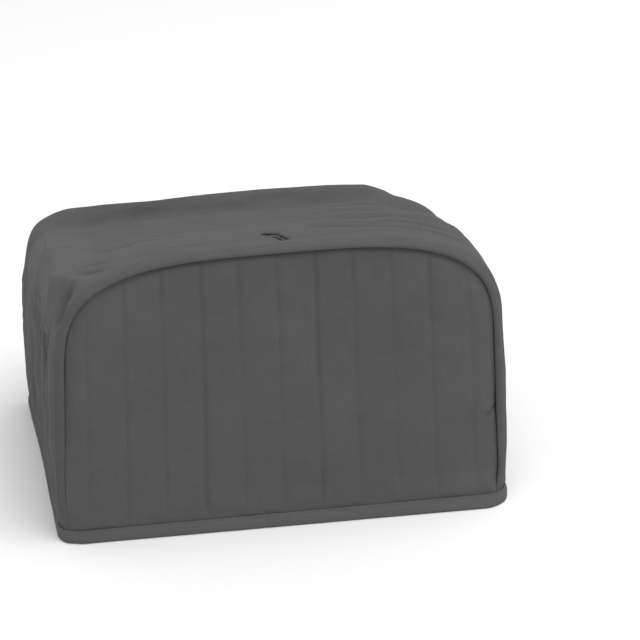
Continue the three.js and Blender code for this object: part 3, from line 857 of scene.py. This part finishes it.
def build_binding():
    loops, tones = [], []
    section = binding_section()
    middle = hem_loop(0.0, 0.0)
    travelled = np.concatenate([[0], np.cumsum(np.hypot(*np.diff(middle[:, :2], axis=0).T))])
    for z, outward, kind in section:
        wobble = sum(size * noise(travelled / cell, z / up, seed) for size, cell, up, seed in WOBBLES)
        loop = hem_loop(z, outward)
        away = hem_loop(z, outward + 1.0) - loop
        loops.append(loop + away * (wobble * WOBBLE_SHARE[kind])[:, None])
        tones.append(np.full(len(loop), TAPE_TONE[kind]))
    around, count = len(loops[0]), len(loops)
    points = np.concatenate(loops)
    k, i = np.meshgrid(np.arange(count), np.arange(around), indexing="ij")
    k2, i2 = (k + 1) % count, (i + 1) % around
    faces = np.stack([k * around + i, k * around + i2, k2 * around + i2, k2 * around + i], -1)
    faces = facing_out(points, faces.reshape(-1, 4))
    weave = np.zeros_like(points)
    weave[:, 0] = np.tile(travelled, count)
    weave[:, 1] = np.repeat(np.arange(count) * 1.0, around)
    values = {"tone": np.concatenate(tones), "weave": weave * MM}
    return add_mesh("binding_tape", points, faces.tolist(), values)


# The stitches
STITCH = 2.6
STITCH_PITCH = 3.6
THREAD = 0.17  # radius
STITCH_SIDES = 6
STITCH_RINGS = ((-0.36, 0.8), (0.0, 1.0), (0.36, 0.8))  # (share along, share of the radius)
STITCH_LIFT = 0.35  # radii that its middle stands up
STITCH_BOW = 3.2  # how steeply its ends dive in
AHEAD = 1.2  # its direction is taken over this length
GUSSET_RUN = (0.035, 0.965, 420)  # (first share, last share, places)
PANEL_RUN = (14, 190, 500)  # (lowest z, highest z, places)
SHORTEST_RUN = 20
OFF_OUTLINE = 3  # a panel's run keeps this far from its sides
OFF_CROWN = 4
HEM_STITCH_HEIGHT = 8.3
HEM_STITCH_DEPTH = 0.5  # inside the tape's widest place


def stitch_ring():
    """Points of one stitch as (share along, side, up), and its faces."""
    n, rings = STITCH_SIDES, len(STITCH_RINGS)
    points = [(-0.5, 0.0, 0.0)]
    for share, size in STITCH_RINGS:
        for k in range(n):
            angle = k * math.pi / (n / 2)
            points.append((share, size * math.cos(angle), size * math.sin(angle)))
    points.append((0.5, 0.0, 0.0))
    faces = [(0, 1 + (k + 1) % n, 1 + k) for k in range(n)]
    for ring in range(rings - 1):
        for k in range(n):
            a, b = 1 + ring * n + k, 1 + ring * n + (k + 1) % n
            faces.append((a, b, b + n, a + n))
    last, base = len(points) - 1, 1 + (rings - 1) * n
    faces += [(last, base + k, base + (k + 1) % n) for k in range(n)]
    return np.array(points), faces


def at(goal, share, values):
    return np.array([np.interp(goal, share, values[:, a]) for a in range(3)])


def build_stitches(name, runs):
    """Evenly spaced stitches along runs of (places, outward directions)."""
    shape, shape_faces = stitch_ring()
    points, faces = [], []
    for places, outs in runs:
        step = np.linalg.norm(np.diff(places, axis=0), axis=1)
        share = np.concatenate([[0], np.cumsum(step)])
        goals = np.arange(STITCH_PITCH, share[-1] - STITCH_PITCH, STITCH_PITCH)
        for g in goals:
            centre, up = at(g, share, places), at(g, share, outs)
            run = at(g + AHEAD, share, places) - centre
            run /= np.linalg.norm(run)
            up = up - run * (up @ run)
            up /= np.linalg.norm(up)
            side = np.cross(up, run)
            base = len(points) * len(shape)
            bowed = THREAD * (STITCH_LIFT - STITCH_BOW * shape[:, 0] ** 2)
            body = centre + shape[:, :1] * STITCH * run
            body = body + THREAD * shape[:, 1:2] * side + (THREAD * shape[:, 2] + bowed)[:, None] * up
            points.append(body)
            faces += [tuple(base + i for i in face) for face in shape_faces]
    points = np.concatenate(points)
    zeros = np.zeros(len(points))
    return add_mesh(name, points, faces, {"tone": zeros, "weave": points * MM})


def gusset_runs():
    runs = []
    along = np.linspace(*GUSSET_RUN)
    for line in range(GUSSET_LINES):
        places, outs = [], []
        for a, y in zip(along, gusset_line(along, line)):
            here = np.array([a])
            px, pz, ox, oz = arch_row(y / DEPTH + 0.5, here)
            rise, _, _ = gusset_relief(here, np.array([y]), px)
            face = ROLL + above_hem(pz) * rise
            places.append((px[0] + ox[0] * face[0], y, pz[0] + oz[0] * face[0]))
            outs.append((ox[0], 0.0, oz[0]))
        runs.append((np.array(places), np.array(outs)))
    return runs


def panel_runs(end):
    """Runs up a panel's stitched lines, as far as the outline lets them go."""
    runs = []
    outline = panel_outline(PANELS[end]["depth"])
    highest = outline[:, 1].max()
    crown_x = outline[outline[:, 1].argmax(), 0]
    left = outline[outline[:, 0] <= crown_x]
    right = outline[outline[:, 0] >= crown_x][::-1]
    for line in range(len(PANELS[end]["pulls"])):
        z = np.linspace(*PANEL_RUN)
        x = line_x(line, z, end)
        on_left = x[-1] < crown_x
        side = left if on_left else right
        side = side[side[:, 1].argsort()]
        limit = np.interp(z, side[:, 1], side[:, 0], right=crown_x)
        inside = x > limit + OFF_OUTLINE if on_left else x < limit - OFF_OUTLINE
        inside &= z < highest - OFF_CROWN
        stop = len(z) if inside.all() else int(np.argmin(inside))
        if stop < SHORTEST_RUN:
            continue
        x, z = x[:stop], z[:stop]
        seam = seam_distance(x[None], z[None], outline)[0]
        out, _, _ = panel_relief(x, z, seam, end)
        places = np.stack([x, end * out, z], -1)
        runs.append((places, np.tile((0.0, float(end), 0.0), (stop, 1))))
    return runs


def hem_run():
    outward = GAP + TAPE - HEM_STITCH_DEPTH
    loop = hem_loop(HEM_STITCH_HEIGHT, outward)
    away = hem_loop(HEM_STITCH_HEIGHT, outward + 1.0) - loop
    return [(np.concatenate([loop, loop[:1]]), np.concatenate([away, away[:1]]))]


# The materials. Noises are (scale of the cloth's own metres, detail, roughness).
WARP = ((900.0, 55.0, 1.0), 2.0, 0.5)
WEFT = ((55.0, 900.0, 1.0), 2.0, 0.5)
MOTTLE = ((45.0, 45.0, 45.0), 3.0, 0.6)
BROAD = ((13.0, 13.0, 13.0), 2.0, 0.5)
# the tone part carries the sheets' painted light and shade
HEATHER = {"base": 0.71, "thread": 0.16, "mottle": 0.14, "broad": 0.12, "tone": 0.3}
SLUB_HEIGHT = 1.4  # of the uneven threads over the even weave
CLOTH_LOOK = {"Roughness": 0.95, "Specular IOR Level": 0.12, "Sheen Weight": 0.04,
              "Sheen Roughness": 0.6}
BUMP_STRENGTH = 0.6


def cloth_material(name, colour, weave_scale, bump):
    material = bpy.data.materials.new(name)
    material.use_nodes = True
    tree = material.node_tree
    nodes, link = tree.nodes, tree.links.new
    shader = nodes["Principled BSDF"]
    for key, value in CLOTH_LOOK.items():
        shader.inputs[key].default_value = value

    def node(kind, **inputs):
        made = nodes.new(kind)
        for key, value in inputs.items():
            made.inputs[key].default_value = value
        return made

    def read(name, output):
        made = node("ShaderNodeAttribute")
        made.attribute_name = name
        return made.outputs[output]

    weave, tone = read("weave", "Vector"), read("tone", "Fac")

    def textured(scale, detail, roughness):
        mapping = node("ShaderNodeMapping", Scale=scale)
        made = node("ShaderNodeTexNoise", Scale=1.0, Detail=detail, Roughness=roughness)
        link(weave, mapping.inputs["Vector"])
        link(mapping.outputs["Vector"], made.inputs["Vector"])
        return made.outputs["Fac"]

    def maths(kind, a, b):
        made = nodes.new("ShaderNodeMath")
        made.operation = kind
        for socket, value in zip(made.inputs, (a, b)):
            if isinstance(value, float):
                socket.default_value = value
            else:
                link(value, socket)
        return made.outputs[0]

    def threads(direction):
        made = node("ShaderNodeTexWave", Scale=weave_scale, Distortion=0.6, Detail=1.0)
        made.bands_direction = direction
        link(weave, made.inputs["Vector"])
        return made.outputs["Fac"]

    warp, weft = textured(*WARP), textured(*WEFT)
    parts = (("thread", weft), ("mottle", textured(*MOTTLE)), ("broad", textured(*BROAD)),
             ("tone", tone))
    heather = maths("MULTIPLY", warp, HEATHER["thread"])
    for key, part in parts:
        heather = maths("ADD", heather, maths("MULTIPLY", part, HEATHER[key]))
    level = maths("ADD", heather, HEATHER["base"])
    tint = nodes.new("ShaderNodeMix")
    tint.data_type = "RGBA"
    tint.blend_type = "MULTIPLY"
    tint.inputs["Factor"].default_value = 1.0
    tint.inputs["A"].default_value = (*colour, 1.0)
    link(level, tint.inputs["B"])
    link(tint.outputs["Result"], shader.inputs["Base Color"])
    cross = maths("MULTIPLY", threads("X"), threads("Y"))
    height = maths("ADD", cross, maths("MULTIPLY", maths("ADD", warp, weft), SLUB_HEIGHT))
    bumped = node("ShaderNodeBump", Strength=BUMP_STRENGTH, Distance=bump)
    link(height, bumped.inputs["Height"])
    link(bumped.outputs["Normal"], shader.inputs["Normal"])
    return material


COTTON = cloth_material("quilted_cotton", (0.083, 0.0834, 0.0843), 330.0, 0.00005)
TAPE_CLOTH = cloth_material("binding_tape", (0.094, 0.0944, 0.0953), 420.0, 0.00004)
THREAD_COTTON = cloth_material("sewing_thread", (0.082, 0.0824, 0.0833), 900.0, 0.00002)

gusset = build_gusset()
front = build_panel("front_cloth", -1, 232, 150)
back = build_panel("back_cloth", 1, 200, 110)
binding = build_binding()
gusset_thread = build_stitches("gusset_stitching", gusset_runs())
front_thread = build_stitches("front_stitching", panel_runs(-1))
back_thread = build_stitches("back_stitching", panel_runs(1))
hem_thread = build_stitches("hem_stitching", hem_run())

for obj, node_name in ((gusset, "gusset"), (front, "front_panel"), (back, "back_panel")):
    obj.data.materials.append(COTTON)
    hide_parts(node_name)
binding.data.materials.append(TAPE_CLOTH)
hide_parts("hem_binding")
for obj in (gusset_thread, front_thread, back_thread):
    obj.data.materials.append(THREAD_COTTON)
hem_thread.data.materials.append(THREAD_COTTON)
for obj in (gusset, front, back, binding, gusset_thread, front_thread, back_thread, hem_thread):
    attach(obj, "root")

# The floor, the light and the camera
FLOOR_SIZE = 12.0
FLOOR_COLOUR = (0.94, 0.94, 0.94, 1.0)
FLOOR_ROUGHNESS = 0.9
WORLD_STRENGTH = 0.7
LIGHT_TARGET = (0.0, 0.0, 0.1)
LIGHTS = (  # (name, place, size, power)
    ("overhead", (0.5, -0.6, 2.4), 2.0, 38.0),
    ("front fill", (0.9, -2.6, 1.0), 1.6, 2.5),
)
CAMERA_PLACE = (-182.9553, -1552.2188, 859.6658)
CAMERA_TURN = (0.1420, -0.4544, -0.0271)  # yaw, pitch and roll
LENS = 146.27
CLIP = (0.05, 50.0)


def pose(x, y, z, place):
    """The matrix of a thing with these axes at this place."""
    columns = (*zip(x, y, z, place), (0, 0, 0, 1))
    return Matrix([[float(v) for v in row] for row in columns])


def add_floor():
    mesh = bpy.data.meshes.new("floor")
    h = FLOOR_SIZE / 2
    mesh.from_pydata([(-h, -h, 0), (h, -h, 0), (h, h, 0), (-h, h, 0)], [], [(0, 1, 2, 3)])
    material = bpy.data.materials.new("floor")
    material.use_nodes = True
    shader = material.node_tree.nodes["Principled BSDF"]
    shader.inputs["Base Color"].default_value = FLOOR_COLOUR
    shader.inputs["Roughness"].default_value = FLOOR_ROUGHNESS
    mesh.materials.append(material)
    obj = placed("floor", mesh)


def add_area(name, place, size, power):
    light = bpy.data.lights.new(name, "AREA")
    light.shape = "DISK"
    light.size = size
    light.energy = power
    back = np.array(place, float) - np.array(LIGHT_TARGET)
    z = back / np.linalg.norm(back)
    x = np.cross((0.0, 1.0, 0.0) if abs(z[2]) > 0.9 else (0.0, 0.0, 1.0), z)
    x /= np.linalg.norm(x)
    y = np.cross(z, x)
    placed(name, light).matrix_world = pose(x, y, z, place)


def add_world():
    world = bpy.data.worlds.new("studio")
    world.use_nodes = True
    background = world.node_tree.nodes["Background"]
    background.inputs["Color"].default_value = (1.0, 1.0, 1.0, 1.0)
    background.inputs["Strength"].default_value = WORLD_STRENGTH
    bpy.context.scene.world = world


def add_camera():
    yaw, pitch, roll = CAMERA_TURN
    ahead = np.array([math.sin(yaw) * math.cos(pitch), math.cos(yaw) * math.cos(pitch), math.sin(pitch)])
    right = np.array([math.cos(yaw), -math.sin(yaw), 0.0])
    up = np.cross(right, ahead)
    x = math.cos(roll) * right + math.sin(roll) * up
    y = -math.sin(roll) * right + math.cos(roll) * up
    z = -ahead
    place = (np.array(CAMERA_PLACE) + (*MIDDLE, 0.0)) * MM
    camera = bpy.data.cameras.new("camera")
    camera.lens = LENS
    camera.clip_start, camera.clip_end = CLIP
    obj = placed("camera", camera)
    obj.matrix_world = pose(x, y, z, place)
    bpy.context.scene.camera = obj


add_floor()
add_world()
for lamp in LIGHTS:
    add_area(*lamp)
add_camera()
bpy.context.scene.view_settings.view_transform = "Standard"
